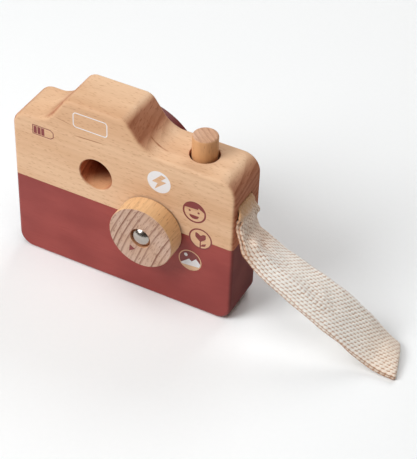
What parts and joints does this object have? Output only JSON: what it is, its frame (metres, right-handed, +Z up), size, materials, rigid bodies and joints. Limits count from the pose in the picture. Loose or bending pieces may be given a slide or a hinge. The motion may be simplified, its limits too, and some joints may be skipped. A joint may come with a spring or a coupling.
{
  "type": "wooden toy camera",
  "caption": "Beech toy camera with a humped top, turning mode dial and lens ring, sprung shutter button, see-through viewfinder and a cotton wrist strap.",
  "frame": {"origin": "Middle of the base of the body block, on the surface that the camera stands on.", "axes": "+X along the body towards the strap end, +Y out of the lens side (the eye looks in from -Y), +Z up."},
  "size_m": [0.2149, 0.0607, 0.104],
  "materials": {
    "beech": "sanded, clear oil",
    "end_grain": "turned, sanded, clear oil",
    "burgundy_paint": "satin burgundy paint on wood",
    "steel": "satin nickel plate",
    "nylon": "matt",
    "acrylic": "polished, clear",
    "cotton": "plain weave webbing, undyed"
  },
  "bodies": {
    "camera_body": {"body_block": "beech", "lens_hub": "beech", "lens_glass": "acrylic", "dial_rivet": "steel", "dial_washer": "nylon", "button_spring": "steel", "button_plug": "beech", "wrist_strap": "cotton", "strap_dowel": "beech"},
    "lens_barrel": {"lens_ring": "burgundy_paint"},
    "dial": {"mode_dial": "end_grain"},
    "button": {"shutter_button": "end_grain"}
  },
  "joints": [
    {"name": "lens_turn", "type": "hinge", "parent": "camera_body", "child": "lens_barrel", "pos_m": [-0.0146, 0.024, 0.0462], "axis": [0, 1, 0], "continuous": true},
    {"name": "dial_turn", "type": "hinge", "parent": "camera_body", "child": "dial", "pos_m": [0.0173, -0.0255, 0.0454], "axis": [0, -1, 0], "continuous": true},
    {"name": "button_press", "type": "slide", "parent": "camera_body", "child": "button", "axis": [0, 0, -1], "range_m": [0, 0.005], "stiffness_N_per_m": 400, "springref_m": -0.004, "deforming": ["button_spring"]}
  ]
}
